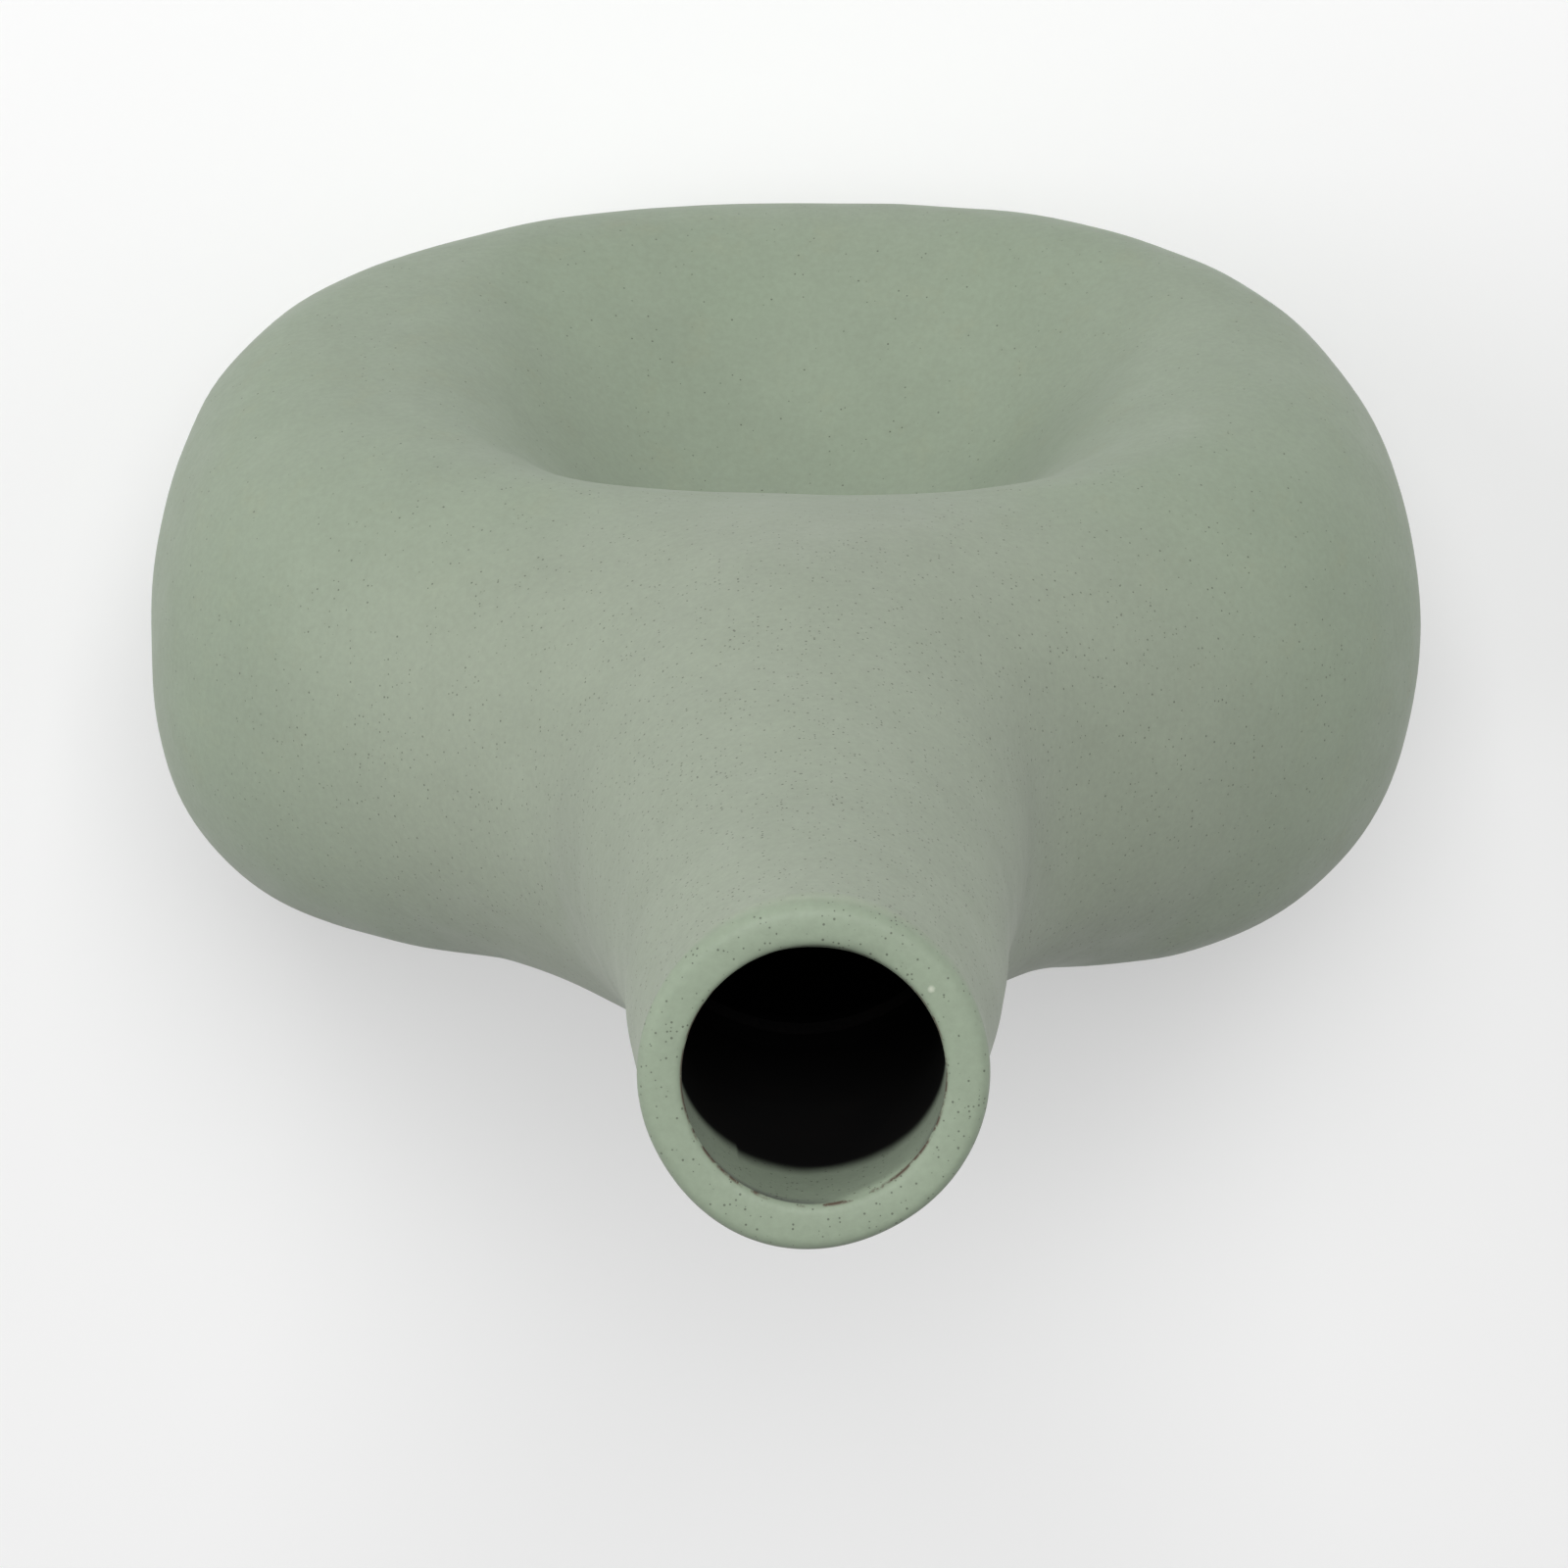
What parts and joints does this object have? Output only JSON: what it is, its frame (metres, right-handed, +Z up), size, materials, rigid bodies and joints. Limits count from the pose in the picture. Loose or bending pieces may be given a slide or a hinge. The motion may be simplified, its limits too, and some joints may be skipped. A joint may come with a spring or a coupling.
{
  "type": "pillow vase",
  "caption": "Hand-built stoneware flower vase: puffed oval body, deeply dimpled front and back, on a flat oval foot, with a tapering neck and a round slanted mouth.",
  "frame": {"origin": "centre of the flat foot, on the table", "axes": "+Z up along the neck, the front dimple faces -Y, the width runs along X"},
  "size_m": [0.23, 0.1206, 0.3216],
  "materials": {
    "glazed_stoneware": "satin-matt speckled sage-green glaze",
    "raw_clay": "fired unglazed dark-brown clay"
  },
  "bodies": {
    "root": {"base_slab": "glazed_stoneware", "front_shell": "glazed_stoneware", "rear_shell": "glazed_stoneware", "neck": "glazed_stoneware", "base_coil": "raw_clay", "neck_coil": "raw_clay", "seam_coil_left": "raw_clay", "seam_coil_right": "raw_clay"}
  },
  "joints": []
}
